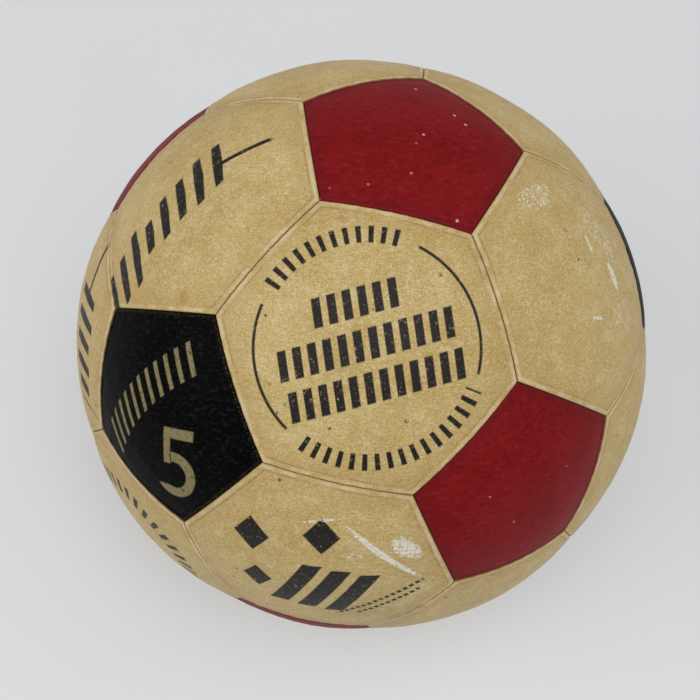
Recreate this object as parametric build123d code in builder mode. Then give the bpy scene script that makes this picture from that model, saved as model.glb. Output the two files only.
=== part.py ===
"""Hand-sewn leather football, size 5, of twenty hexagons and twelve pentagons.

The ball's centre is the origin and the valve looks along +Y. Lengths are in millimetres.
"""

import os
from math import asin, cos, radians, sin, sqrt, tan

from build123d import *

os.makedirs("parts", exist_ok=True)

# ---------------------------------------------------------------- driving dimensions
ball_radius = 110.0  # a size 5 ball is 680 to 700 round, so 691 here
layout_spin = 16.5  # turn of the panel layout about the valve's axis, degrees

# leather panels: each is a shallow domed pan whose rim is turned in and sewn
seam_gap = 0.1  # air between two neighbouring turned-in rims
leather_wall = 1.5
hexagon_dome = 100.0  # radius of a hexagon's dome, smaller than the ball's, so seams lie low
pentagon_dome = 92.5
leather_edge_round = 0.8
rim_foot = 102.7  # distance from the ball's centre at which a turned-in rim ends

# cloth glued inside every panel
glue_gap = 0.05
lining_wall = 0.9

# waxed thread
stitch_count = 8  # passes in one seam
stitch_pitch = 4.6
stitch_height = 104.6  # from the ball's centre to the row of awl holes
awl_hole_radius = 0.5
pin_length = 4.0  # goes through a rim and its lining from the seam's plane
pass_radius = 0.35  # thread drawn tight through a hole
run_width = 0.9  # thread pressed flat along the inside of a rim
run_thickness = 0.6
run_overhang = 0.6  # thread past the last hole of a seam

# latex bladder, blown into the hollow of every panel
bladder_wall = 0.8
bladder_radius = 102.4  # where it lies across the seams
bladder_gap = 0.3
pillow_inset = 4.2  # from a seam's plane to the side of the pillow in the panel
pole_turn = (37, 11, 0)  # keeps the poles of the bladder's sphere off the pillows' corners

# valve: rubber housing glued to the bladder, and a plug pushed into it
neck_radius = 6.0
neck_top = 109.4
neck_hole_gap = 0.05
flange_radius = 14.0
flange_wall = 1.2
boot_radius = 6.5
boot_bottom = 94.0
boot_chamfer = 1.0
plug_bore_radius = 3.55
plug_radius = 3.5
plug_top = 109.2
plug_bottom = 95.0
plug_tip_radius = 2.4
plug_tip_length = 2.5
needle_radius = 1.0
needle_floor = 97.2  # the channel stops here, above the plug's closed lips
funnel_radius = 1.9
funnel_depth = 1.1

# ---------------------------------------------------------------- panel layout
golden = (1 + sqrt(5)) / 2
mid_radius = 3 * golden / 2  # from the centre to an edge's middle, for an edge of 1
hexagon_slope = asin(sqrt(3) / 2 / mid_radius)  # from a hexagon's axis to its edge's middle
pentagon_slope = asin(0.5 / tan(radians(36)) / mid_radius)
wedge_floor = 88.0  # height at which the solid under a panel is cut off
wedge_height = 30.0
signs = (-1, 1)

pentagon_corners = [Vector(0, a, b * golden) for a in signs for b in signs]
pentagon_corners += [Vector(v.Y, v.Z, v.X) for v in pentagon_corners] + [
    Vector(v.Z, v.X, v.Y) for v in pentagon_corners
]
hexagon_corners = [Vector(0, a * golden, b / golden) for a in signs for b in signs]
hexagon_corners += [Vector(v.Y, v.Z, v.X) for v in hexagon_corners] + [
    Vector(v.Z, v.X, v.Y) for v in hexagon_corners
]
hexagon_corners += [Vector(a, b, c) for a in signs for b in signs for c in signs]

valve_corner = Vector(1, 1, 1)
layout = Plane(
    origin=(0, 0, 0),
    x_dir=Vector(0, 1, golden) - valve_corner * ((1 + golden) / 3),
    z_dir=valve_corner,
)


def turned(corner):
    """A direction of the layout, turned so that the valve's hexagon looks along +Y."""
    local = layout.to_local_coords(corner.normalized())
    upright = Vector(local.X, local.Z, -local.Y)
    return upright.rotate(Axis.Y, -layout_spin)


def ring_order(direction):
    """Panels are numbered ring by ring, away from the valve, and round its axis in each."""
    return (-round(direction.Y, 3), direction.get_signed_angle(Vector(0, 0, 1), Vector(0, 1, 0)))


pentagon_directions = sorted((turned(c) for c in pentagon_corners), key=ring_order)
hexagon_directions = sorted((turned(c) for c in hexagon_corners), key=ring_order)


def touching(first, second, reach):
    """Whether two different panels share a seam."""
    return 1 < first.get_angle(second) < reach


def seat(direction, neighbour):
    """The plane of a panel: Z out through its middle, X towards the middle of one of its edges."""
    edge_way = neighbour - direction * neighbour.dot(direction)
    return Plane(origin=(0, 0, 0), x_dir=edge_way, z_dir=direction)


def seam_seat(first, second, first_slope):
    """The plane of a seam: Z out through its middle, Y across it, X along it."""
    across = (second - first * second.dot(first)).normalized()
    middle = first * cos(first_slope) + across * sin(first_slope)
    return Plane(origin=(0, 0, 0), x_dir=across.cross(first), z_dir=middle)


seam_reach = 45.0  # the axes of two panels that share a seam are closer than this, degrees
hexagon_seats = [
    seat(h, next(p for p in pentagon_directions if touching(h, p, seam_reach)))
    for h in hexagon_directions
]
pentagon_seats = [
    seat(p, next(h for h in hexagon_directions if touching(p, h, seam_reach)))
    for p in pentagon_directions
]
hexagon_seams = [
    seam_seat(h, other, hexagon_slope)
    for n, h in enumerate(hexagon_directions)
    for other in hexagon_directions[n + 1 :]
    if touching(h, other, seam_reach)
]
pentagon_seams = [
    seam_seat(p, h, pentagon_slope)
    for p in pentagon_directions
    for h in hexagon_directions
    if touching(p, h, seam_reach)
]
valve_seat, *other_seats = hexagon_seats


# ---------------------------------------------------------------- shared forms
def wedge(sides, slope, dome, inset, edge_round=0.0, drop=0.0):
    """The domed wedge of ball under one panel, inset from its seams and dropped at its middle."""
    with BuildPart() as form:
        with Locations((0, 0, ball_radius - drop - dome)):
            Sphere(dome, rotation=(90, 0, 0))
        split(bisect_by=Plane.XY.offset(wedge_floor), keep=Keep.TOP)
        for side in range(sides):
            inward = Vector(-cos(slope), 0, sin(slope)).rotate(Axis.Z, side * 360 / sides)
            split(bisect_by=Plane(origin=inward * inset, z_dir=inward), keep=Keep.TOP)
        if edge_round:
            fillet(form.faces().sort_by(Axis.Z)[-1].edges(), edge_round)
    return form.part


def awl_holes(sides, slope):
    """The pins that pierce the rims of one panel, a row of them across each edge."""
    row_centre = Vector(sin(slope), 0, cos(slope)) * stitch_height
    across = Vector(-cos(slope), 0, sin(slope))
    with BuildPart() as row:
        with BuildSketch(Plane(origin=row_centre, x_dir=(0, 1, 0), z_dir=across)):
            with GridLocations(stitch_pitch, 0, stitch_count, 1):
                Circle(awl_hole_radius)
        extrude(amount=pin_length)
    with BuildPart() as pins:
        with PolarLocations(0, sides):
            add(row.part)
    return pins.part


def pan(sides, slope, dome, inset, wall, edge_round=0.0, drop=0.0):
    """A domed pan of even wall, rims turned in to the foot and pierced for the thread."""
    outside = wedge(sides, slope, dome, inset, edge_round, drop)
    inside = wedge(sides, slope, dome - wall, inset + wall, drop=drop + wall)
    with BuildPart() as shell:
        add(outside)
        add(inside, mode=Mode.SUBTRACT)
        Sphere(rim_foot, rotation=(90, 0, 0), mode=Mode.SUBTRACT)
        add(awl_holes(sides, slope), mode=Mode.SUBTRACT)
    return shell.part


def stitch_row(run_middle):
    """One seam's thread: passes through the awl holes, joined by a run inside each rim."""
    half_row = stitch_pitch * (stitch_count - 1) / 2 + run_overhang
    with BuildPart() as thread:
        with BuildSketch(Plane.XZ):
            with Locations((0, stitch_height)):
                with GridLocations(stitch_pitch, 0, stitch_count, 1):
                    Circle(pass_radius)
        extrude(amount=run_middle, both=True)
        with BuildSketch(Plane.YZ):
            with Locations((-run_middle, stitch_height), (run_middle, stitch_height)):
                Rectangle(run_thickness, run_width)
        extrude(amount=half_row, both=True)
    return thread.part


def export(piece, name):
    piece.label = name
    export_step(piece, f"parts/{name}.step")


# ---------------------------------------------------------------- leather panels
lining_inset = seam_gap / 2 + leather_wall + glue_gap
lining_drop = leather_wall + glue_gap
run_inset = lining_inset + lining_wall + glue_gap + run_thickness / 2

with BuildPart() as hexagon:
    add(pan(6, hexagon_slope, hexagon_dome, seam_gap / 2, leather_wall, leather_edge_round))

with BuildPart() as pentagon:
    add(pan(5, pentagon_slope, pentagon_dome, seam_gap / 2, leather_wall, leather_edge_round))

with BuildPart() as neck_hole:
    with BuildSketch(Plane.XY.offset(wedge_floor)):
        Circle(neck_radius + neck_hole_gap)
    extrude(amount=wedge_height)

with BuildPart() as valve_hexagon:
    add(hexagon.part)
    add(neck_hole.part, mode=Mode.SUBTRACT)

# ---------------------------------------------------------------- cloth linings
hexagon_lining_dome = hexagon_dome - lining_drop
pentagon_lining_dome = pentagon_dome - lining_drop

with BuildPart() as hexagon_lining:
    add(pan(6, hexagon_slope, hexagon_lining_dome, lining_inset, lining_wall, drop=lining_drop))

with BuildPart() as pentagon_lining:
    add(pan(5, pentagon_slope, pentagon_lining_dome, lining_inset, lining_wall, drop=lining_drop))

with BuildPart() as valve_hexagon_lining:
    add(hexagon_lining.part)
    add(neck_hole.part, mode=Mode.SUBTRACT)

# ---------------------------------------------------------------- place the panels
with BuildPart() as valve_panel:
    with Locations(valve_seat):
        add(valve_hexagon.part)
export(valve_panel.part, "hexagon_valve")

for number, place in enumerate(other_seats, 1):
    with BuildPart() as hexagon_panel:
        with Locations(place):
            add(hexagon.part)
    export(hexagon_panel.part, f"hexagon_{number:02d}")

# rings of three pentagons, counted from the valve
ring_colours = ("black", "red", "black") + ("red",) * 3 + ("black",) * 3 + ("black", "red", "red")
colour_counts = {"red": 0, "black": 0}
for colour, place in zip(ring_colours, pentagon_seats):
    with BuildPart() as pentagon_panel:
        with Locations(place):
            add(pentagon.part)
    colour_counts[colour] += 1
    export(pentagon_panel.part, f"{colour}_pentagon_{colour_counts[colour]}")

with BuildPart() as valve_lining:
    with Locations(valve_seat):
        add(valve_hexagon_lining.part)
export(valve_lining.part, "valve_lining")

with BuildPart() as hexagon_linings:
    with Locations(*other_seats):
        add(hexagon_lining.part)
export(hexagon_linings.part, "hexagon_linings")

with BuildPart() as pentagon_linings:
    with Locations(*pentagon_seats):
        add(pentagon_lining.part)
export(pentagon_linings.part, "pentagon_linings")

# ---------------------------------------------------------------- thread
with BuildPart() as stitches:
    add(stitch_row(run_inset))

with BuildPart() as hexagon_stitches:
    with Locations(*hexagon_seams):
        add(stitches.part)
export(hexagon_stitches.part, "hexagon_stitches")

with BuildPart() as pentagon_stitches:
    with Locations(*pentagon_seams):
        add(stitches.part)
export(pentagon_stitches.part, "pentagon_stitches")

# ---------------------------------------------------------------- bladder
pillow_drop = lining_drop + lining_wall + bladder_gap
flange_drop = lining_drop + lining_wall + glue_gap
valve_pillow_drop = flange_drop + flange_wall + glue_gap


def pillow(sides, slope, dome, drop, skin):
    """The part of the bladder that fills one panel, shrunk by a skin."""
    return wedge(sides, slope, dome - drop - skin, pillow_inset + skin, drop=drop + skin)


def bladder_form(skin):
    """The blown bladder as a solid, shrunk by a skin: a sphere with a pillow in every panel."""
    with BuildPart() as form:
        Sphere(bladder_radius - skin, rotation=pole_turn)
        with Locations(*other_seats):
            add(pillow(6, hexagon_slope, hexagon_dome, pillow_drop, skin))
        with Locations(*pentagon_seats):
            add(pillow(5, pentagon_slope, pentagon_dome, pillow_drop, skin))
        with Locations(valve_seat):
            add(pillow(6, hexagon_slope, hexagon_dome, valve_pillow_drop, skin))
    return form.part


with BuildPart() as bladder:
    add(bladder_form(0))
    add(bladder_form(bladder_wall), mode=Mode.SUBTRACT)
    with BuildSketch(Plane.XZ.offset(-wedge_floor)):
        Circle(boot_radius + glue_gap)
    extrude(amount=-wedge_height, mode=Mode.SUBTRACT)
export(bladder.part, "bladder")

# ---------------------------------------------------------------- valve, drawn upright along Z
flange_dome = hexagon_dome - flange_drop
flange_centre = ball_radius - flange_drop - flange_dome

with BuildPart() as flange_disc:
    with Locations((0, 0, flange_centre)):
        Sphere(flange_dome, rotation=(90, 0, 0))
        Sphere(flange_dome - flange_wall, rotation=(90, 0, 0), mode=Mode.SUBTRACT)
    with BuildSketch(Plane.XY.offset(wedge_floor)):
        Circle(flange_radius)
    extrude(amount=wedge_height, mode=Mode.INTERSECT)

with BuildPart() as upright_housing:
    with BuildSketch(Plane.XY.offset(boot_bottom)):
        Circle(boot_radius)
    extrude(amount=ball_radius - valve_pillow_drop - boot_bottom)
    with BuildSketch(Plane.XY.offset(ball_radius - valve_pillow_drop)):
        Circle(neck_radius)
    extrude(amount=neck_top - ball_radius + valve_pillow_drop)
    chamfer(upright_housing.edges().sort_by(Axis.Z)[0], boot_chamfer)
    add(flange_disc.part)
    with BuildSketch(Plane.XY.offset(boot_bottom)):
        Circle(plug_bore_radius)
    extrude(amount=wedge_height, mode=Mode.SUBTRACT)

with BuildPart() as valve_housing:
    with Locations(valve_seat):
        add(upright_housing.part)
export(valve_housing.part, "valve_housing")

with BuildPart() as upright_plug:
    with BuildSketch(Plane.XZ):
        with BuildLine():
            Polyline(
                (0, plug_bottom),
                (plug_tip_radius, plug_bottom),
                (plug_radius, plug_bottom + plug_tip_length),
                (plug_radius, plug_top),
                (funnel_radius, plug_top),
                (needle_radius, plug_top - funnel_depth),
                (needle_radius, needle_floor),
                (0, needle_floor),
                close=True,
            )
        make_face()
    revolve(axis=Axis.Z)

with BuildPart() as valve_plug:
    with Locations(valve_seat):
        add(upright_plug.part)
export(valve_plug.part, "valve_plug")
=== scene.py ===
import math

import bmesh
import bpy
import numpy as np
from mathutils import Matrix, Vector


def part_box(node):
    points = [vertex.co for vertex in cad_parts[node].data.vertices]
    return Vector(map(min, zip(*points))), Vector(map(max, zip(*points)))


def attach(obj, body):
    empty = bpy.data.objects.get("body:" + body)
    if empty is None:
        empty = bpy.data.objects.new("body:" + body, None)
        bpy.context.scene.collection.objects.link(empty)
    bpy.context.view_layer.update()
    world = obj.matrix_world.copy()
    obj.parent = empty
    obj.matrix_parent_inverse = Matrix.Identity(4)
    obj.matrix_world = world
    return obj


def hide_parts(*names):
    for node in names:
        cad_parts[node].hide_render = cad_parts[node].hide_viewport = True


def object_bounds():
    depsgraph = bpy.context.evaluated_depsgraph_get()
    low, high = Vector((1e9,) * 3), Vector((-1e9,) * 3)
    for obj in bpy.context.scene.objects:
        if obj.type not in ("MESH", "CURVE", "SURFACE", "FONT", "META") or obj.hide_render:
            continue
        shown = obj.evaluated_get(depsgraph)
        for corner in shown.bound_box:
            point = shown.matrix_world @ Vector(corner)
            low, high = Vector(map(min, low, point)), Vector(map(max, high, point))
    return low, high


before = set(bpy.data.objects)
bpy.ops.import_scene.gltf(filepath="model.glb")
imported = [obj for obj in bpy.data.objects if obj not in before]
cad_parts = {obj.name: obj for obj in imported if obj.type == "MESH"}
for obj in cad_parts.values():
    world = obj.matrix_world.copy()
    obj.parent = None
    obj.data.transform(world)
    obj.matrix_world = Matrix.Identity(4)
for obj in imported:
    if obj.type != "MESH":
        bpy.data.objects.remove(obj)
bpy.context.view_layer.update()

MM = 0.001
BALL = 110 * MM  # radius at the middle of every panel
SEED = 7
SEED_STEP = 31  # between two panels
SAME_WAY = 0.999  # cosine above which two directions are the same panel's

# ------------------------------------------------------------------ panel layout
GOLDEN = (1 + math.sqrt(5)) / 2
MID_RADIUS = 3 * GOLDEN / 2  # from the centre to an edge's middle, for an edge of 1
SLOPE = {
    6: math.asin(math.sqrt(3) / 2 / MID_RADIUS),
    5: math.asin(0.5 / math.tan(math.radians(36)) / MID_RADIUS),
}
LAYOUT_SPIN = math.radians(16.5)
SEAM_REACH = math.radians(45)


def cyclic(points):
    """Each point in its three cyclic orders."""
    return [Vector((p[i], p[(i + 1) % 3], p[(i + 2) % 3])) for p in points for i in range(3)]


def layout_directions():
    """Row directions of the pentagons and of the hexagons, one hexagon looking along +Y."""
    signs = (-1, 1)
    pentagons = cyclic([(0, a, b * GOLDEN) for a in signs for b in signs])
    hexagons = cyclic([(0, a * GOLDEN, b / GOLDEN) for a in signs for b in signs])
    hexagons += [Vector((a, b, c)) for a in signs for b in signs for c in signs]
    pole = Vector((1, 1, 1)).normalized()
    start = Vector((0, 1, GOLDEN))
    start = (start - pole * start.dot(pole)).normalized()
    side = pole.cross(start)
    spin = Matrix.Rotation(-LAYOUT_SPIN, 3, "Y")

    def turned(corner):
        unit = corner.normalized()
        return spin @ Vector((unit.dot(start), unit.dot(pole), -unit.dot(side)))

    return [turned(p) for p in pentagons], [turned(h) for h in hexagons]


PENTAGONS, HEXAGONS = layout_directions()


def facing(directions, x, y, z):
    """The panel that looks most nearly along x, y, z."""
    return max(directions, key=lambda d: d.dot(Vector((x, y, z))))


def node_direction(name):
    low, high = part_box(name)
    return ((Vector(low) + Vector(high)) / 2).normalized()


# ------------------------------------------------------------------ shader maths
class Num:
    """A number in a material, on which Python's own operators work."""

    def __init__(self, paint, socket):
        self.paint = paint
        self.socket = socket

    def op(self, kind, *others):
        node = self.paint.nodes.new("ShaderNodeMath")
        node.operation = kind
        for place, value in enumerate((self, *others)):
            self.paint.put(node.inputs[place], value)
        return Num(self.paint, node.outputs[0])

    def __add__(self, other):
        return self.op("ADD", other)

    def __radd__(self, other):
        return self.op("ADD", other)

    def __sub__(self, other):
        return self.op("SUBTRACT", other)

    def __rsub__(self, other):
        return self.paint.value(other).op("SUBTRACT", self)

    def __mul__(self, other):
        return self.op("MULTIPLY", other)

    def __rmul__(self, other):
        return self.op("MULTIPLY", other)

    def __truediv__(self, other):
        return self.op("DIVIDE", other)

    def __rtruediv__(self, other):
        return self.paint.value(other).op("DIVIDE", self)

    def __neg__(self):
        return self.op("MULTIPLY", -1.0)

    def __pow__(self, other):
        return self.op("POWER", other)

    def __abs__(self):
        return self.op("ABSOLUTE")

    def __mod__(self, other):
        return self.op("FLOORED_MODULO", other)

    def floor(self):
        return self.op("FLOOR")

    def most(self, other):
        return self.op("MAXIMUM", other)

    def rise(self, low, high):
        """0 below low, 1 above high, smooth between."""
        node = self.paint.node(
            "ShaderNodeMapRange",
            {"interpolation_type": "SMOOTHSTEP"},
            {"Value": self, "From Min": low, "From Max": high},
        )
        return Num(self.paint, node.outputs[0])

    def fall(self, low, high):
        return 1.0 - self.rise(low, high)


class Paint:
    """One procedural material under construction."""

    def __init__(self, name):
        self.material = bpy.data.materials.new(name)
        self.material.use_nodes = True
        self.nodes = self.material.node_tree.nodes
        self.links = self.material.node_tree.links
        self.shader = self.nodes["Principled BSDF"]
        self.place = self.node("ShaderNodeTexCoord").outputs["Object"]

    def put(self, socket, value):
        if isinstance(value, Num):
            self.links.new(value.socket, socket)
        elif isinstance(value, bpy.types.NodeSocket):
            self.links.new(value, socket)
        else:
            socket.default_value = value

    def node(self, kind, settings=None, inputs=None):
        """Any node, by type, settings and inputs."""
        made = self.nodes.new(kind)
        for key, value in (settings or {}).items():
            setattr(made, key, value)
        for key, value in (inputs or {}).items():
            self.put(made.inputs[key], value)
        return made

    def value(self, number):
        made = self.node("ShaderNodeValue")
        made.outputs[0].default_value = number
        return Num(self, made.outputs[0])

    def attribute(self, name):
        made = self.node("ShaderNodeAttribute", {"attribute_name": name})
        return Num(self, made.outputs["Fac"])

    def along(self, axis):
        """Distance along an axis of the ball, in millimetres."""
        made = self.node(
            "ShaderNodeVectorMath",
            {"operation": "DOT_PRODUCT"},
            {0: self.place, 1: tuple(a / MM for a in axis)},
        )
        return Num(self, made.outputs["Value"])

    def noise(self, scale, detail=2.0, roughness=0.5, shift=(0, 0, 0), distortion=0.0):
        """Noise of about 0 to 1, with scale in features per metre."""
        moved = self.node("ShaderNodeVectorMath", {"operation": "ADD"}, {0: self.place, 1: shift})
        made = self.node(
            "ShaderNodeTexNoise",
            None,
            {
                "Vector": moved.outputs[0],
                "Scale": scale,
                "Detail": detail,
                "Roughness": roughness,
                "Distortion": distortion,
            },
        )
        return Num(self, made.outputs[0])

    def brushed(self, way, scale, stretch):
        """Noise drawn out along a way, with scale in features per millimetre across it."""
        side = way.orthogonal().normalized()
        drawn = self.node(
            "ShaderNodeCombineXYZ",
            None,
            {0: self.along(way) / stretch, 1: self.along(side), 2: self.along(way.cross(side))},
        )
        made = self.node(
            "ShaderNodeTexNoise",
            None,
            {"Vector": drawn.outputs[0], "Scale": scale, "Detail": 3.0, "Roughness": 0.62},
        )
        return Num(self, made.outputs[0])

    def cells(self, scale, feature="F1", output="Distance", shift=(0, 0, 0)):
        moved = self.node("ShaderNodeVectorMath", {"operation": "ADD"}, {0: self.place, 1: shift})
        made = self.node(
            "ShaderNodeTexVoronoi",
            {"feature": feature},
            {"Vector": moved.outputs[0], "Scale": scale},
        )
        return Num(self, made.outputs[output])

    def mix(self, factor, first, second):
        """A colour: first where factor is 0, second where it is 1."""
        made = self.node("ShaderNodeMix", {"data_type": "RGBA"}, {0: factor, 6: first, 7: second})
        return made.outputs[2]

    def bump(self, height, distance, strength=1.0):
        made = self.node(
            "ShaderNodeBump", None, {"Strength": strength, "Distance": distance, "Height": height}
        )
        self.put(self.shader.inputs["Normal"], made.outputs[0])


def shade(hue):
    return (*hue, 1.0)


# ------------------------------------------------------------------ print shapes, in millimetres
def turned_by(u, v, degrees):
    """The coordinates u and v, turned."""
    c, s = math.cos(math.radians(degrees)), math.sin(math.radians(degrees))
    return u * c + v * s, v * c - u * s


def bar(u, v, cu, cv, half_u, half_v, blur=0.25):
    """A plain rectangle."""
    inside_u = abs(u - cu).fall(half_u - blur, half_u + blur)
    inside_v = abs(v - cv).fall(half_v - blur, half_v + blur)
    return inside_u * inside_v


def between(x, low, high, blur=0.25):
    return x.rise(low - blur, low + blur) * x.fall(high - blur, high + blur)


def roundel(paint, u, v):
    """Two arcs joined above and below by rows of short bars, round three rows of upright strokes."""
    u, v = turned_by(u, v, 15)
    radius = (u * u + v * v) ** 0.5
    angle = v.op("ARCTAN2", u)
    above = between(angle, math.radians(48), math.radians(142), 0.01)
    below = between(angle, math.radians(-150), math.radians(-28), 0.01)
    arcs = between(radius, 31.2, 32.1) * (1.0 - above) * (1.0 - below)
    step = (angle / math.radians(6.4)) % 1.0
    bars = between(radius, 29.3, 34.2) * between(step, 0.2, 0.62, 0.05)
    bound = between(angle, math.radians(56), math.radians(132), 0.01).most(
        between(angle, math.radians(-142), math.radians(-36), 0.01)
    )
    marks = arcs.most(bars * bound)
    # height of the row, its strokes, and half the height of each
    for row_v, strokes, half_v in ((13.0, 6, 4.1), (1.2, 12, 4.3), (-10.6, 12, 4.3)):
        lean = u - (v - row_v) * 0.12
        slot = (lean / 4.3 + strokes / 2) % 1.0
        high = abs(v - row_v).fall(half_v - 0.25, half_v + 0.25)
        wide = abs(lean).fall(strokes * 2.15 - 0.1, strokes * 2.15 + 0.1)
        marks = marks.most(between(slot, 0.2, 0.78, 0.04) * high * wide)
    return marks


def slanted_strokes(paint, u, v, lean, shift, low, high, half=8.4, pitch=7.6):
    """A line of plain slanted brush bars of uneven height, with a thin tail."""
    u, v = turned_by(u, v, lean)
    v = v - shift
    leaned = u - v * 0.42
    slot = (leaned / pitch) % 1.0
    bar_number = (leaned / pitch).floor()
    uneven = ((bar_number * 2.7).op("SINE") * 0.5 + (bar_number * 1.3).op("COSINE") * 0.5) * 0.30 + 0.86
    thick = between(slot, 0.22, 0.74 - abs(v) * 0.014, 0.04)
    line = between(leaned, low, high) * thick * (abs(v) - uneven * half).fall(-0.3, 0.3)
    tail_v = v + 1.5 + (u - high) * 0.28
    tail = between(u, high - 3.0, high + 15.0, 1.0) * abs(tail_v).fall(0.6, 1.05)
    return line.most(tail)


def numeral(paint, u, v):
    """The size number 5, slanted."""
    u = u - v * 0.18
    top = bar(u, v, 1.0, 8.6, 4.2, 1.3)
    stem = bar(u, v, -2.3, 5.2, 1.0, 4.6)
    ring = ((u + 0.4) * (u + 0.4) + (v + 2.4) * (v + 2.4)) ** 0.5
    bowl = between(ring, 3.6, 6.2) * (1.0 - bar(u, v, -5.4, -1.0, 4.4, 4.6))
    return top.most(stem).most(bowl)


def size_number(paint, u, v):
    """The size number under a rising line of thin upright strokes."""
    along, across = turned_by(u, v, 40)
    leaned = along - across * 0.35
    arch = across - 7.6 + along * along * 0.0045
    slot = (leaned / 4.7) % 1.0
    strokes = between(slot, 0.30, 0.66, 0.05) * between(leaned, -28.2, 23.5) * abs(arch).fall(4.9, 5.3)
    return strokes.most(numeral(paint, (u - 6.5) / 1.3, (v + 15.5) / 1.3))


def plain_marks(paint, u, v):
    """Three diamonds over three thick slanted bars and two broken lines."""
    marks = None
    for cu, cv, size in ((-19.0, 16.5, 5.6), (2.5, 20.0, 5.6), (-18.5, -4.0, 4.8)):
        diamond = (abs(u - cu) + abs(v - cv) * 0.8).fall(size - 0.3, size + 0.3)
        marks = diamond if marks is None else marks.most(diamond)
    for n in range(3):
        lean = u - v * 0.5 + 4.0 - n * 9.6
        marks = marks.most(bar(lean, v, 0.0, -4.5 - n * 1.5, 3.1, 11.8))
    line_u, line_v = turned_by(u, v, 38)
    for row, middle, half in ((-21.0, 9.0, 17.0), (-24.6, 10.0, 12.0)):
        dash = (line_u / 2.3) % 1.0
        marks = marks.most(bar(line_u, line_v, middle, row, half, 0.75) * between(dash, 0.0, 0.66, 0.05))
    return marks


def ring_of_bars(paint, u, v):
    """A faint ring of short radial bars."""
    radius = (u * u + v * v) ** 0.5
    angle = v.op("ARCTAN2", u)
    slot = (angle / math.radians(12)) % 1.0
    return between(radius, 21.0, 27.0) * between(slot, 0.2, 0.65, 0.05)


# ------------------------------------------------------------------ materials
# colours of the cream leather and what marks it, with its painted sheen, glints, ridge highlight and crease
# shade
TAN = shade((0.450, 0.300, 0.082))
GOLD = shade((0.52, 0.37, 0.128))
PALE_GOLD = shade((0.64, 0.51, 0.26))
GRAIN_BROWN = shade((0.26, 0.16, 0.05))
# painted sheen: pale specks standing in for the coating's sheen
PAINTED_SHEEN_SPECK = shade((0.74, 0.62, 0.38))
BRUSHED_CREAM = shade((0.86, 0.78, 0.58))
BRUSHED_BROWN = shade((0.30, 0.19, 0.07))
# painted glints of the gold coating
PAINTED_GLINT = shade((0.90, 0.77, 0.47))
PIT_BROWN = shade((0.22, 0.14, 0.05))
SEAM_SIDE_BROWN = shade((0.40, 0.25, 0.09))
# painted highlight on the ridge beside each seam
PAINTED_RIDGE_HIGHLIGHT = shade((0.76, 0.64, 0.42))
# painted shade in the crease behind the ridge
PAINTED_CREASE_SHADE = shade((0.16, 0.09, 0.035))
SPECK_BROWN = shade((0.10, 0.055, 0.025))
SMUDGE = shade((0.19, 0.15, 0.10))
SCRATCH = shade((0.80, 0.74, 0.62))
STAIN = shade((0.36, 0.20, 0.05))
INK = shade((0.004, 0.004, 0.004))
BARE_HIDE = shade((0.74, 0.72, 0.64))
SEAM_DIRT = shade((0.17, 0.105, 0.045))

# colours of the red leather, with painted highlights and shade on its wrinkles and painted shade along its
# edges
RED = shade((0.175, 0.0052, 0.0060))
BRIGHT_RED = shade((0.210, 0.0074, 0.0088))
GRAIN_RED = shade((0.105, 0.004, 0.006))
# painted highlight on the wrinkles
PAINTED_WRINKLE_HIGHLIGHT_RED = shade((0.29, 0.024, 0.022))
# painted shade in the wrinkles
PAINTED_WRINKLE_SHADE_RED = shade((0.085, 0.003, 0.004))
# painted shade along the edge
PAINTED_EDGE_SHADE_RED = shade((0.105, 0.008, 0.014))
DUST = shade((0.62, 0.42, 0.34))
RUBBED_RED = shade((0.38, 0.09, 0.08))
RED_SEAM_DIRT = shade((0.050, 0.012, 0.010))

# colours of the black leather, with painted highlights on its wrinkles
BLACK = shade((0.0012, 0.0012, 0.0012))
SOFT_BLACK = shade((0.0024, 0.0024, 0.0023))
# painted highlight on the wrinkles
PAINTED_WRINKLE_HIGHLIGHT_BLACK = shade((0.020, 0.020, 0.019))
SCUFFED_BLACK = shade((0.10, 0.085, 0.06))
EDGE_BROWN = shade((0.12, 0.07, 0.03))
GOLD_PRINT = shade((0.27, 0.22, 0.105))

READING = Vector((0.9147, -0.4042, 0.0))  # the way across the ball that its print reads


def page(paint, direction):
    """Coordinates across and up a panel from its middle, in millimetres."""
    across = (READING - direction * READING.dot(direction)).normalized()
    return paint.along(across), paint.along(direction.cross(across))


def grain(paint):
    """Height of the leather's surface: fine pebbling and longer wrinkles."""
    fine = paint.noise(2600, 3.0, 0.6)
    pebble = paint.cells(1500)
    wrinkle = paint.noise(420, 3.0, 0.6, (0.3, 0.1, 0.2), 0.6)
    drawn = paint.brushed(READING, 1.1, 5.0)
    return fine * 0.35 + pebble * 0.3 + wrinkle * 0.5 + drawn * 0.35


def stained(paint, hue, u, v, stains, blotch):
    """The hue with small round stains of uneven outline."""
    for cu, cv, size, depth in stains:
        offset = ((u - cu) * (u - cu) + (v - cv) * (v - cv)) ** 0.5 + (blotch - 0.5) * size * 0.5
        hue = paint.mix(offset.fall(size * 0.75, size) * depth, hue, STAIN)
    return hue


def rubbed(paint, hue, u, v, rubs, wear):
    """The hue with its coating flaked off here and there, and most of all at the rubs."""
    rub = paint.noise(48, 3.0, 0.6, (0.15, 0.65, 0.35)) * 0.58
    for cu, cv, long, wide, turn, force in rubs:
        along, across = turned_by(u - cu, v - cv, turn)
        reach = ((along / long) * (along / long) + (across / wide) * (across / wide)) ** 0.5
        rub = rub.most(reach.fall(0.3, 1.1) * force)
    flake = paint.noise(1000, 6.0, 0.78, (0.2, 0.2, 0.6), 0.5)
    bare = (flake + rub * 0.5).rise(1.0 - wear, 1.06 - wear)
    return paint.mix(bare * 0.85, hue, BARE_HIDE)


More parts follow.
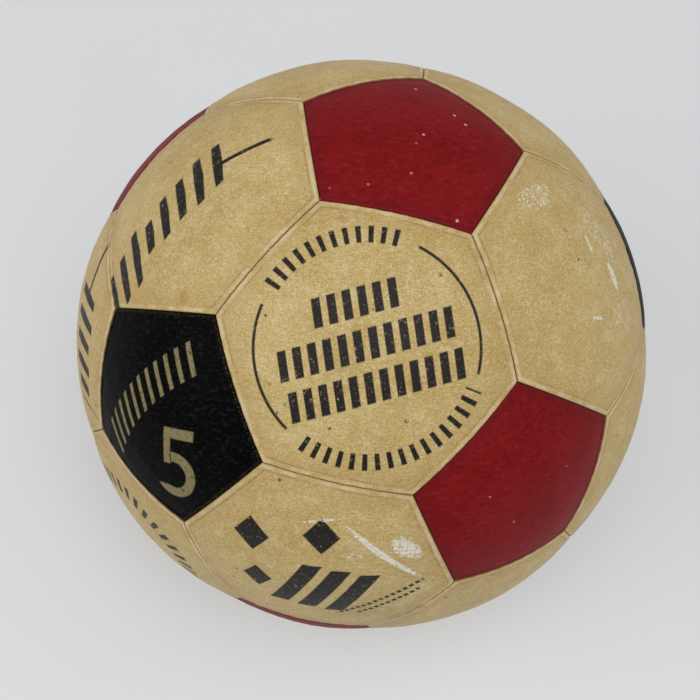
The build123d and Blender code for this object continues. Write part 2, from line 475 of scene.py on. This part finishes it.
def cream_leather(name, direction=None, print_shape=None, wear=0.1, stains=(), rubs=()):
    """Gold-cream coated leather, browner by the seams, speckled, scuffed white in places, with painted
    sheen specks, glints, ridge highlights and crease shade.

    A panel with a print, stains or rubs of its own gives its direction.
    """
    paint = Paint(name)
    edge = paint.attribute("edge")
    cloud = paint.noise(38, 3.0, 0.55)
    blotch = paint.noise(160, 4.0, 0.65, (0.5, 0.2, 0.1))
    speckle = paint.noise(1500, 3.0, 0.75, (0.1, 0.7, 0.4))
    sheen_speck_noise = paint.noise(820, 3.0, 0.7, (0.2, 0.4, 0.9))
    hue = paint.mix(cloud.rise(0.3, 0.7), TAN, GOLD)
    brushed = paint.brushed(READING, 1.9, 5.0)
    hue = paint.mix(blotch.rise(0.42, 0.75) * 0.5, hue, PALE_GOLD)
    glint_and_pit_noise = paint.noise(3300, 2.0, 0.8, (0.7, 0.2, 0.5))
    hue = paint.mix(speckle.rise(0.48, 0.66) * 0.5, hue, GRAIN_BROWN)
    # painted sheen: pale specks where the coating would catch the light
    hue = paint.mix(sheen_speck_noise.rise(0.50, 0.70) * (blotch * 0.60), hue, PAINTED_SHEEN_SPECK)
    hue = paint.mix(brushed.rise(0.54, 0.70) * 0.26, hue, BRUSHED_CREAM)
    hue = paint.mix(brushed.fall(0.30, 0.45) * 0.40, hue, BRUSHED_BROWN)
    # painted glints: bright grains standing in for the coating's glints; the dark pits after them are grain
    hue = paint.mix(glint_and_pit_noise.rise(0.54, 0.66) * 0.55, hue, PAINTED_GLINT)
    hue = paint.mix(glint_and_pit_noise.fall(0.34, 0.46) * 0.55, hue, PIT_BROWN)
    # browner beside the seams, unevenly
    hue = paint.mix(edge.fall(1.0, 9.0) * (0.16 + blotch * 0.35), hue, SEAM_SIDE_BROWN)
    # painted highlight along the ridge over the folded rim
    ridge = between(edge, 0.5, 1.4, 0.35)
    hue = paint.mix(ridge * blotch.rise(0.35, 0.6) * 0.45, hue, PAINTED_RIDGE_HIGHLIGHT)
    # painted shade in the crease behind the ridge, broken here and there
    broken = paint.noise(70, 2.0, 0.5, (0.9, 0.3, 0.2)).rise(0.42, 0.6)
    crease_shade_mask = between(edge, 1.95, 2.25, 0.15) * broken
    hue = paint.mix(crease_shade_mask * 0.55, hue, PAINTED_CREASE_SHADE)
    # small brown specks
    dots = paint.cells(95, shift=(0.4, 0.1, 0.3)).fall(0.045, 0.075)
    hue = paint.mix(dots * speckle.rise(0.40, 0.5) * 0.85, hue, SPECK_BROWN)
    smudge = paint.noise(260, 4.0, 0.75, (0.8, 0.8, 0.1)).rise(0.66, 0.78)
    hue = paint.mix(smudge * 0.35, hue, SMUDGE)
    # hair-fine scratches
    scratch = paint.noise(500, 4.0, 0.8, (0.6, 0.6, 0.4), 1.5).rise(0.70, 0.76)
    hue = paint.mix(scratch * 0.3, hue, SCRATCH)
    u, v = page(paint, direction or Vector((0, 0, 1)))
    hue = stained(paint, hue, u, v, stains, blotch)
    if print_shape is not None:
        ink = print_shape(paint, u, v)
        whole = speckle.fall(0.60, 0.72)
        whole *= paint.noise(700, 3.0, 0.7, (0.3, 0.3, 0.3)).fall(0.60, 0.72)
        hue = paint.mix(ink * (0.45 + whole * 0.54), hue, INK)
    hue = rubbed(paint, hue, u, v, rubs, wear)
    dirt = edge.fall(0.06, 0.30)
    hue = paint.mix(dirt * 0.85, hue, SEAM_DIRT)
    paint.put(paint.shader.inputs["Base Color"], hue)
    paint.put(paint.shader.inputs["Roughness"], 0.40 + speckle * 0.22)
    paint.shader.inputs["Specular IOR Level"].default_value = 0.22
    paint.bump(grain(paint), 0.00016, 1.0)
    return paint.material


def red_leather(name):
    """Deep red leather with pale dust specks, finely creased grain, painted highlights and shade on its
    wrinkles, and painted shade along its edges.
    """
    paint = Paint(name)
    edge = paint.attribute("edge")
    cloud = paint.noise(60, 3.0, 0.6)
    speckle = paint.noise(1700, 2.0, 0.7, (0.1, 0.7, 0.4))
    hue = paint.mix(cloud.rise(0.3, 0.7), RED, BRIGHT_RED)
    hue = paint.mix(speckle.rise(0.5, 0.72) * 0.4, hue, GRAIN_RED)
    wrinkle_light_and_shade = paint.brushed(READING, 0.9, 2.2)
    # painted highlights and painted shade on the wrinkles, in place of their own light
    hue = paint.mix(wrinkle_light_and_shade.rise(0.50, 0.74) * 0.42, hue, PAINTED_WRINKLE_HIGHLIGHT_RED)
    hue = paint.mix(wrinkle_light_and_shade.fall(0.30, 0.46) * 0.55, hue, PAINTED_WRINKLE_SHADE_RED)
    # painted shade along the edge, where the panel bends down into the seam
    hue = paint.mix(edge.fall(0.5, 5.0) * 0.35, hue, PAINTED_EDGE_SHADE_RED)
    dust = paint.cells(120, shift=(0.7, 0.1, 0.2)).fall(0.045, 0.075)
    hue = paint.mix(dust * cloud.rise(0.40, 0.55) * 0.9, hue, DUST)
    rub = paint.noise(240, 5.0, 0.8, (0.6, 0.1, 0.8), 1.0).rise(0.69, 0.80)
    hue = paint.mix(rub * 0.35, hue, RUBBED_RED)
    hue = paint.mix(edge.fall(0.05, 0.35) * 0.7, hue, RED_SEAM_DIRT)
    paint.put(paint.shader.inputs["Base Color"], hue)
    paint.put(paint.shader.inputs["Roughness"], 0.38 + speckle * 0.2)
    paint.shader.inputs["Specular IOR Level"].default_value = 0.05
    paint.bump(grain(paint), 0.00015, 0.9)
    return paint.material


def black_leather(name, direction=None, print_shape=None):
    """Black leather, finely wrinkled, with painted highlights on its wrinkles and brown scuffs by its
    seams.
    """
    paint = Paint(name)
    edge = paint.attribute("edge")
    cloud = paint.noise(70, 3.0, 0.6)
    speckle = paint.noise(1700, 2.0, 0.7, (0.1, 0.7, 0.4))
    hue = paint.mix(cloud.rise(0.3, 0.7), BLACK, SOFT_BLACK)
    wrinkle_light_and_shade = paint.brushed(READING, 1.0, 2.2)
    # painted highlights on the wrinkles
    hue = paint.mix(wrinkle_light_and_shade.rise(0.52, 0.72) * 0.6, hue, PAINTED_WRINKLE_HIGHLIGHT_BLACK)
    rub = paint.noise(230, 5.0, 0.8, (0.6, 0.1, 0.8), 1.0).rise(0.70, 0.82)
    hue = paint.mix(rub * 0.35, hue, SCUFFED_BLACK)
    hue = paint.mix(between(edge, 0.3, 1.1, 0.3) * speckle.rise(0.45, 0.7) * 0.5, hue, EDGE_BROWN)
    if print_shape is not None:
        u, v = page(paint, direction)
        ink = print_shape(paint, u, v)
        worn = paint.noise(900, 3.0, 0.7, (0.3, 0.3, 0.3)).fall(0.50, 0.70)
        hue = paint.mix(ink * (0.25 + worn * 0.6), hue, GOLD_PRINT)
    paint.put(paint.shader.inputs["Base Color"], hue)
    paint.put(paint.shader.inputs["Roughness"], 0.34 + speckle * 0.2)
    paint.shader.inputs["Specular IOR Level"].default_value = 0.02
    paint.bump(grain(paint), 0.00018, 1.0)
    return paint.material


def plain(name, hue, roughness, scale=300):
    """A plain mottled stuff for the floor and the parts inside."""
    paint = Paint(name)
    cloud = paint.noise(scale, 3.0)
    deep = tuple(c * 0.86 for c in hue)
    paint.put(paint.shader.inputs["Base Color"], paint.mix(cloud, shade(deep), shade(hue)))
    paint.shader.inputs["Roughness"].default_value = roughness
    return paint.material


# ------------------------------------------------------------------ panels
RINGS = 64  # rows of triangles from the middle of a panel to its edge
ROLL = 0.36 * MM  # radius of the turned edge
GAP = 0.05 * MM  # half the gap between two turned edges
ROLL_RINGS = 7
NEAR_RINGS = 14
NEAR = 4.5 * MM
DOME = {6: 100 * MM, 5: 92.5 * MM}
RIM_DEPTH = 4.6 * MM
RIM_FOLD = 0.955  # the folded rim, as a share of the edge above it
RIM_RETURN = 1.02  # the way back up inside the fold
INSIDE_HEIGHT = 0.982  # of the panel's inner middle, as a share of the ball's radius
INSIDE_REACH = 17 * MM  # half the size of the inner face before it meets the valve's hole
RIDGE = 0.14 * MM
RIDGE_AT = 1.15  # millimetres from the seam
RIDGE_WIDTH = 0.5
TROUGH = 0.18 * MM
TROUGH_AT = 2.2
TROUGH_WIDTH = 0.55
STITCH_PITCH = 4.6 * MM
STITCH_PULL = 0.12 * MM
PULL_REACH = 1.8
SLACK = 0.30 * MM
SLACK_REACH = 12
LUMPS = 0.05 * MM
VALVE_HOLE = 6.1 * MM
VALVE_BLEND = 25 * MM


def clear_selection():
    for o in bpy.context.selected_objects:
        o.select_set(False)


def ring_edges(sides):
    """Distance from the seam, along the ball, of each ring from the middle out to the edge."""
    reach = SLOPE[sides] * BALL
    turn = np.linspace(0, math.pi / 2, ROLL_RINGS + 1)
    roll = GAP + ROLL * (1 - np.cos(turn))
    near = np.linspace(GAP + ROLL, NEAR, NEAR_RINGS + 1)[1:]
    rest = np.linspace(NEAR, reach, RINGS - ROLL_RINGS - NEAR_RINGS + 1)[1:]
    return np.concatenate([roll, near, rest])[::-1]


def flat_panel(name, sides):
    """A flat panel of fine triangles, closer together towards its edge, on the plane z = BALL."""
    clear_selection()
    apothem = BALL * math.tan(SLOPE[sides])
    bpy.ops.mesh.primitive_circle_add(
        vertices=sides,
        radius=apothem / math.cos(math.pi / sides),
        fill_type="TRIFAN",
        location=(0, 0, BALL),
        rotation=(0, 0, math.pi / sides - math.pi / 2),
    )
    panel = bpy.context.object
    panel.name = name
    bpy.ops.object.transform_apply(location=True, rotation=True, scale=True)
    bpy.ops.object.mode_set(mode="EDIT")
    bpy.ops.mesh.select_all(action="SELECT")
    bpy.ops.mesh.subdivide(number_cuts=RINGS - 1)
    bpy.ops.object.mode_set(mode="OBJECT")
    points = np.empty(len(panel.data.vertices) * 3)
    panel.data.vertices.foreach_get("co", points)
    points = points.reshape(-1, 3)
    outward = edge_normals(sides)
    share = (points[:, :2] @ outward.T).max(axis=1) / apothem
    ring = np.rint(share * RINGS).astype(int)
    angle = SLOPE[sides] - ring_edges(sides) / BALL
    wanted = BALL * np.tan(angle)
    scale = np.where(ring > 0, wanted[ring] / np.maximum(share * apothem, 1e-9), 1.0)
    points[:, :2] *= scale[:, None]
    panel.data.vertices.foreach_set("co", points.ravel())
    return panel


def edge_normals(sides):
    """Flat outward normals of a panel's edges, the first along X."""
    angles = np.arange(sides) * 2 * math.pi / sides
    return np.stack([np.cos(angles), np.sin(angles)], axis=1)


def wavy(points, scale, seed, octaves=1):
    """Soft noise of about -1 to 1 at many points at once."""
    draw = np.random.default_rng(seed)
    total = np.zeros(len(points))
    for n in range(octaves):
        for _ in range(7):
            way = draw.normal(size=3)
            way *= scale * 2**n * draw.uniform(0.6, 1.4) / np.linalg.norm(way)
            total += np.sin(points @ way + draw.uniform(0, 2 * math.pi)) / 2**n
    return total / 4.0


def seat_matrix(direction, neighbour):
    """Turns +Z to a panel's direction and +X towards the middle of one of its edges."""
    across = (neighbour - direction * neighbour.dot(direction)).normalized()
    return Matrix((across, direction.cross(across), direction)).transposed()


def open_for_valve(panel):
    """Bends the middle of a flat hexagon's grid into circles and takes out what the valve's neck passes."""
    mesh = panel.data
    points = np.empty(len(mesh.vertices) * 3)
    mesh.vertices.foreach_get("co", points)
    points = points.reshape(-1, 3)
    from_middle = (points[:, :2] @ edge_normals(6).T).max(axis=1)
    levels = np.unique(np.round(from_middle / MM, 3)) * MM
    mouth = levels[np.searchsorted(levels, VALVE_HOLE)]
    blend = np.clip((VALVE_BLEND - from_middle) / (VALVE_BLEND - mouth), 0, 1)
    radius = np.linalg.norm(points[:, :2], axis=1)
    wanted = (1 - blend) * radius + blend * from_middle * VALVE_HOLE / mouth
    points[:, :2] *= (wanted / np.maximum(radius, 1e-9))[:, None]
    mesh.vertices.foreach_set("co", points.ravel())
    edit = bmesh.new()
    edit.from_mesh(mesh)
    edit.verts.ensure_lookup_table()
    inside = [v for v in edit.verts if from_middle[v.index] < mouth - 0.1 * MM]
    bmesh.ops.delete(edit, geom=inside, context="VERTS")
    edit.to_mesh(mesh)
    edit.free()


def dome_height(sides, across, edge):
    """Distance from the ball's centre of a domed panel with a rolled edge.

    across is the cosine of the angle from the panel's middle. The dome is a smaller
    sphere that meets the ball's at the middle of the panel.
    """
    rise = BALL - DOME[sides]
    height = rise * across + np.sqrt(np.maximum(DOME[sides] ** 2 - rise**2 * (1 - across**2), 0))
    into = np.clip((ROLL - (edge - GAP)) / ROLL, 0, 1)
    return height - ROLL * (1 - np.sqrt(np.maximum(1 - into**2, 0)))


def sewn_height(placed, near, along, seed):
    """What sewing and play add to that distance.

    placed are directions on the ball, near is millimetres from the seam and along is
    metres along it.
    """
    # the ridge over the folded rim, which two neighbours share, and the trough behind it
    ridge = 0.55 + 0.45 * wavy(placed, 130, SEED + 3)
    trough = 0.5 + 0.5 * wavy(placed, 150, seed + 5)
    added = RIDGE * np.exp(-(((near - RIDGE_AT) / RIDGE_WIDTH) ** 2)) * ridge
    added -= TROUGH * np.exp(-(((near - TROUGH_AT) / TROUGH_WIDTH) ** 2)) * trough
    # each stitch pulls the edge down a little
    tug = 0.5 + 0.5 * np.cos(2 * math.pi * along / STITCH_PITCH + wavy(placed, 40, seed + 9))
    added -= STITCH_PULL * tug * np.exp(-near / PULL_REACH)
    # slack and lumps of the leather
    added += SLACK * wavy(placed, 14, seed + 1) * np.clip(near / SLACK_REACH, 0.15, 1)
    return added + LUMPS * wavy(placed, 75, seed + 2, 2)


def raise_panel(panel, sides, direction, seed):
    """Turns the flat panel to its place and lifts it to its domed and sewn shape."""
    near_panels = [d for d in HEXAGONS + PENTAGONS if 0.1 < d.angle(direction) < SEAM_REACH]
    neighbour = min(near_panels, key=lambda d: d.angle(direction))
    seat = np.array(seat_matrix(direction, neighbour))
    mesh = panel.data
    points = np.empty(len(mesh.vertices) * 3)
    mesh.vertices.foreach_get("co", points)
    points = points.reshape(-1, 3)
    unit = points / np.linalg.norm(points, axis=1)[:, None]
    outward = edge_normals(sides)
    slope = SLOPE[sides]
    inward = np.column_stack([-outward * math.cos(slope), np.full(sides, math.sin(slope))])
    seams = np.arcsin(np.clip(unit @ inward.T, -1, 1)) * BALL
    edge = seams.min(axis=1)
    tangent = np.column_stack([-outward[:, 1], outward[:, 0], np.zeros(sides)])
    along = (unit * tangent[seams.argmin(axis=1)]).sum(axis=1) * BALL
    placed = unit @ seat.T
    near = edge / MM
    height = dome_height(sides, unit[:, 2], edge) + sewn_height(placed, near, along, seed)
    mesh.vertices.foreach_set("co", (placed * height[:, None]).ravel())
    store = mesh.attributes.new("edge", "FLOAT", "POINT")
    store.data.foreach_set("value", near.astype(np.float32))
    mesh.update()


def pick_borders(panel, direction, least_radius):
    """Selects the open edges that are farther than a radius from the panel's axis."""
    edit = bmesh.from_edit_mesh(panel.data)
    for e in edit.edges:
        middle = (e.verts[0].co + e.verts[1].co) / 2
        off_axis = (middle - direction * middle.dot(direction)).length
        e.select_set(len(e.link_faces) == 1 and off_axis > least_radius)
    bmesh.update_edit_mesh(panel.data)


def draw_border(scale, centre):
    """Extrudes the selected border and scales it towards a centre."""
    bpy.ops.mesh.extrude_edges_move()
    bpy.ops.transform.resize(value=(scale,) * 3, center_override=tuple(centre))


def turn_in_rim(panel, direction, has_hole):
    """Turns the rolled edge down into the seam, folds it to the rim's thickness and closes the inside."""
    clear_selection()
    bpy.context.view_layer.objects.active = panel
    panel.select_set(True)
    bpy.ops.object.mode_set(mode="EDIT")
    bpy.ops.mesh.select_mode(type="EDGE")
    bpy.ops.mesh.select_all(action="DESELECT")
    pick_borders(panel, direction, 2 * VALVE_HOLE)
    origin = Vector((0, 0, 0))
    draw_border(1 - RIM_DEPTH / BALL, origin)
    draw_border(RIM_FOLD, direction * BALL * RIM_FOLD)
    draw_border(RIM_RETURN, origin)
    inside = direction * BALL * INSIDE_HEIGHT
    if has_hole:
        draw_border(0.5, inside)
        draw_border(VALVE_HOLE / INSIDE_REACH, inside)
        pick_borders(panel, direction, 0)
        bpy.ops.mesh.bridge_edge_loops()
    else:
        draw_border(0.6, inside)
        draw_border(0.02, inside)
        bpy.ops.mesh.merge(type="CENTER")
    bpy.ops.mesh.select_all(action="SELECT")
    bpy.ops.mesh.normals_make_consistent(inside=False)
    bpy.ops.object.mode_set(mode="OBJECT")
    panel.data.shade_smooth()


FLAT = {6: flat_panel("flat hexagon", 6), 5: flat_panel("flat pentagon", 5)}


def sewn_panel(name, sides, direction, seed, has_hole=False):
    """One leather panel in its place."""
    panel = FLAT[sides].copy()
    panel.data = FLAT[sides].data.copy()
    panel.name = name
    bpy.context.collection.objects.link(panel)
    if has_hole:
        open_for_valve(panel)
    raise_panel(panel, sides, direction, seed)
    turn_in_rim(panel, direction, has_hole)
    return panel


CENTRE_HEXAGON = facing(HEXAGONS, -0.143, -0.333, 0.932)
UPPER_HEXAGON = facing(HEXAGONS, -0.387, 0.333, 0.860)
LEFT_HEXAGON = facing(HEXAGONS, -0.879, 0.333, 0.342)
LOWER_HEXAGON = facing(HEXAGONS, -0.484, -0.745, 0.459)
RIGHT_HEXAGON = facing(HEXAGONS, 0.551, -0.333, 0.765)
CORNER_HEXAGON = facing(HEXAGONS, -0.938, -0.333, 0.095)
NUMBERED_PENTAGON = facing(PENTAGONS, -0.712, -0.188, 0.676)

# stains: middle across and up the panel in millimetres, radius, depth
CENTRE_STAINS = ((13.1, -9.9, 2.6, 0.45), (-7.0, 36.1, 1.3, 0.45), (-27.0, -9.8, 0.7, 0.8))
UPPER_STAINS = ((-2.4, -36.3, 2.0, 0.45),)

# rubs: middle across and up the panel in millimetres, half length, half width, turn, force
CENTRE_RUBS = ((22, -16, 9, 4, 30, 0.62),)
LOWER_RUBS = (
    (21, 13, 32, 2.0, -46, 1.0),
    (27.5, 15.5, 12, 6, -50, 0.92),
    (2, 26, 13, 1.0, 12, 0.88),
    (12, 13, 8, 3, 0, 0.76),
)
RIGHT_RUBS = (
    (-20, 22, 18, 9, 30, 0.76),
    (8, 16, 24, 12, -40, 0.74),
    (18, -8, 18, 14, 0, 0.70),
    (0, 10, 7, 1.3, -65, 0.95),
    (12, 3, 10, 3, -60, 0.95),
    (2, -13, 6, 0.9, 5, 0.95),
)


def upper_strokes(paint, u, v):
    return slanted_strokes(paint, u, v, lean=35, shift=-1.8, low=-44, high=13)


def left_strokes(paint, u, v):
    return slanted_strokes(paint, u, v, lean=72, shift=-19.0, low=-26, high=14)


PANEL_FINISH = {
    "cream": cream_leather("cream leather"),
    "red": red_leather("red leather"),
    "black": black_leather("black leather"),
}
OWN_FINISH = (
    (
        CENTRE_HEXAGON,
        cream_leather(
            "cream leather with ring print",
            CENTRE_HEXAGON,
            roundel,
            wear=0.06,
            stains=CENTRE_STAINS,
            rubs=CENTRE_RUBS,
        ),
    ),
    (
        UPPER_HEXAGON,
        cream_leather(
            "cream leather with stroke print",
            UPPER_HEXAGON,
            upper_strokes,
            wear=0.04,
            stains=UPPER_STAINS,
        ),
    ),
    (
        LEFT_HEXAGON,
        cream_leather(
            "cream leather with stroke print beside it", LEFT_HEXAGON, left_strokes, wear=0.08
        ),
    ),
    (
        LOWER_HEXAGON,
        cream_leather(
            "cream leather with plain marks", LOWER_HEXAGON, plain_marks, rubs=LOWER_RUBS
        ),
    ),
    (
        RIGHT_HEXAGON,
        cream_leather("cream leather rubbed pale", RIGHT_HEXAGON, rubs=RIGHT_RUBS),
    ),
    (
        CORNER_HEXAGON,
        cream_leather("cream leather with ring of bars", CORNER_HEXAGON, ring_of_bars, wear=0.16),
    ),
    (
        NUMBERED_PENTAGON,
        black_leather("black leather with size number", NUMBERED_PENTAGON, size_number),
    ),
)


def colour_of(node):
    """A panel's leather: pentagons are named for theirs, and every hexagon is cream."""
    return node.split("_")[0] if "pentagon" in node else "cream"


def finish_of(node, direction):
    """The panel's own finish where it is printed or rubbed, or the common one of its leather."""
    for own_direction, material in OWN_FINISH:
        if own_direction.dot(direction) > SAME_WAY:
            return material
    return PANEL_FINISH[colour_of(node)]


PANEL_NODES = ["hexagon_valve"] + [f"hexagon_{n:02d}" for n in range(1, 20)]
PANEL_NODES += [f"{colour}_pentagon_{n}" for colour in ("red", "black") for n in range(1, 7)]

for number, node in enumerate(PANEL_NODES):
    sides = 5 if "pentagon" in node else 6
    direction = facing(PENTAGONS if sides == 5 else HEXAGONS, *node_direction(node))
    seed = SEED + SEED_STEP * number
    panel = sewn_panel(f"{node}_leather", sides, direction, seed, node == "hexagon_valve")
    panel.data.materials.clear()
    panel.data.materials.append(finish_of(node, direction))
    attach(panel, "ball")
    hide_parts(node)

for leftover in FLAT.values():
    bpy.data.objects.remove(leftover)

# what is sewn and blown inside shows nowhere; the panels stand for it
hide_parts("valve_lining")
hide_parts("hexagon_linings", "hexagon_stitches", "bladder")
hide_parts("pentagon_linings", "pentagon_stitches")


# ------------------------------------------------------------------ valve
def lathed(name, profile):
    """A round piece about +Y, drawn ring by ring up its profile of (radius, height) in millimetres."""
    clear_selection()
    first_radius, first_height = profile[0]
    bpy.ops.mesh.primitive_circle_add(
        vertices=64, radius=first_radius * MM, fill_type="NOTHING", location=(0, 0, first_height * MM)
    )
    made = bpy.context.object
    made.name = name
    bpy.ops.object.transform_apply(location=True, rotation=True, scale=True)
    bpy.ops.object.mode_set(mode="EDIT")
    bpy.ops.mesh.select_all(action="SELECT")
    for (radius, height), (next_radius, next_height) in zip(profile, profile[1:]):
        share = next_radius / radius
        bpy.ops.mesh.extrude_edges_move()
        bpy.ops.transform.translate(value=(0, 0, (next_height - height) * MM))
        bpy.ops.transform.resize(
            value=(share, share, 1), center_override=(0, 0, next_height * MM)
        )
    bpy.ops.mesh.select_all(action="SELECT")
    bpy.ops.mesh.remove_doubles(threshold=0.02 * MM)
    bpy.ops.mesh.normals_make_consistent(inside=False)
    bpy.ops.object.mode_set(mode="OBJECT")
    made.rotation_euler = (-math.pi / 2, 0, 0)
    bpy.ops.object.transform_apply(location=True, rotation=True, scale=True)
    made.data.shade_smooth()
    bevel = made.modifiers.new("soft edges", "BEVEL")
    bevel.width = 0.25 * MM
    bevel.segments = 3
    bevel.limit_method = "ANGLE"
    bpy.ops.object.modifier_apply(modifier=bevel.name)
    return made


BORE = 3.55
PLUG_RADIUS = 3.5
NEEDLE = 1.0
FUNNEL = 1.9
BOOT = 6.5
BOOT_BOTTOM = 94.0
NECK = 6.0
NECK_TOP = 109.5
FLANGE = 13.9
PLUG_BOTTOM = 95.0
PLUG_TOP = 109.2
NEEDLE_FLOOR = 97.2
POLE = 0.01  # a ring this small is merged to a point

HOUSING = [
    (BORE, BOOT_BOTTOM),
    (BOOT - 1.0, BOOT_BOTTOM),
    (BOOT, BOOT_BOTTOM + 1.0),
    (BOOT, 105.6),
    (FLANGE, 104.9),
    (FLANGE, 106.0),
    (NECK, 106.9),
    (NECK, NECK_TOP - 0.2),
    (NECK - 1.0, NECK_TOP),
    (NECK - 1.5, NECK_TOP),
    (BORE + 0.35, NECK_TOP - 0.3),
    (BORE, NECK_TOP - 0.6),
    (BORE, BOOT_BOTTOM),
]
PLUG = [
    (POLE, PLUG_BOTTOM),
    (PLUG_RADIUS - 1.1, PLUG_BOTTOM),
    (PLUG_RADIUS, PLUG_BOTTOM + 2.5),
    (PLUG_RADIUS, PLUG_TOP - 0.3),
    (PLUG_RADIUS - 0.3, PLUG_TOP),
    (FUNNEL + 0.5, PLUG_TOP),
    (FUNNEL, PLUG_TOP - 0.3),
    (NEEDLE + 0.3, PLUG_TOP - 0.9),
    (NEEDLE, PLUG_TOP - 1.6),
    (NEEDLE, NEEDLE_FLOOR),
    (POLE, NEEDLE_FLOOR),
]
HOUSING_RUBBER = plain("valve rubber", (0.30, 0.22, 0.12), 0.6, 900)
PLUG_RUBBER = plain("plug rubber", (0.035, 0.033, 0.03), 0.55, 900)


def add_to_valve(node, profile, material, body):
    """One lathed piece of the valve, in place of its CAD node."""
    piece = lathed(f"{node}_rubber", profile)
    piece.data.materials.append(material)
    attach(piece, body)
    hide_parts(node)


add_to_valve("valve_housing", HOUSING, HOUSING_RUBBER, "ball")
add_to_valve("valve_plug", PLUG, PLUG_RUBBER, "plug")

# ------------------------------------------------------------------ floor, lights, camera
low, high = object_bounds()
clear_selection()
bpy.ops.mesh.primitive_plane_add(size=24, location=(0, 0, low.z))
floor = bpy.context.object
floor.name = "floor"
floor.data.materials.append(plain("floor white", (0.78, 0.78, 0.78), 0.55, 2))


def lamp(name, place, size, power, hue=(1, 1, 1)):
    """A soft square light that looks at the ball."""
    data = bpy.data.lights.new(name, "AREA")
    data.shape = "SQUARE"
    data.size = size
    data.energy = power
    data.color = hue
    made = bpy.data.objects.new(name, data)
    bpy.context.collection.objects.link(made)
    made.location = place
    made.rotation_euler = (-Vector(place)).to_track_quat("-Z", "Y").to_euler()
    return made


lamp("ceiling light", (0.0, -0.35, 2.0), 1.6, 17)
lamp("room light", (0.9, -0.6, 1.2), 1.4, 4)
lamp("window light", (-1.2, 0.35, 1.0), 1.2, 6.5)

world = bpy.data.worlds.new("room")
world.use_nodes = True
world.node_tree.nodes["Background"].inputs[0].default_value = (0.93, 0.96, 1.0, 1)
world.node_tree.nodes["Background"].inputs[1].default_value = 0.47
bpy.context.scene.world = world

camera_data = bpy.data.cameras.new("camera")
camera_data.lens = 41.05
camera_data.sensor_width = 36
camera = bpy.data.objects.new("camera", camera_data)
bpy.context.collection.objects.link(camera)
camera.location = (-0.050848, -0.104266, 0.305269)
camera.rotation_euler = (math.radians(90 - 69.54), 0, math.radians(-23.84))
bpy.context.scene.camera = camera
bpy.context.scene.view_settings.view_transform = "Standard"
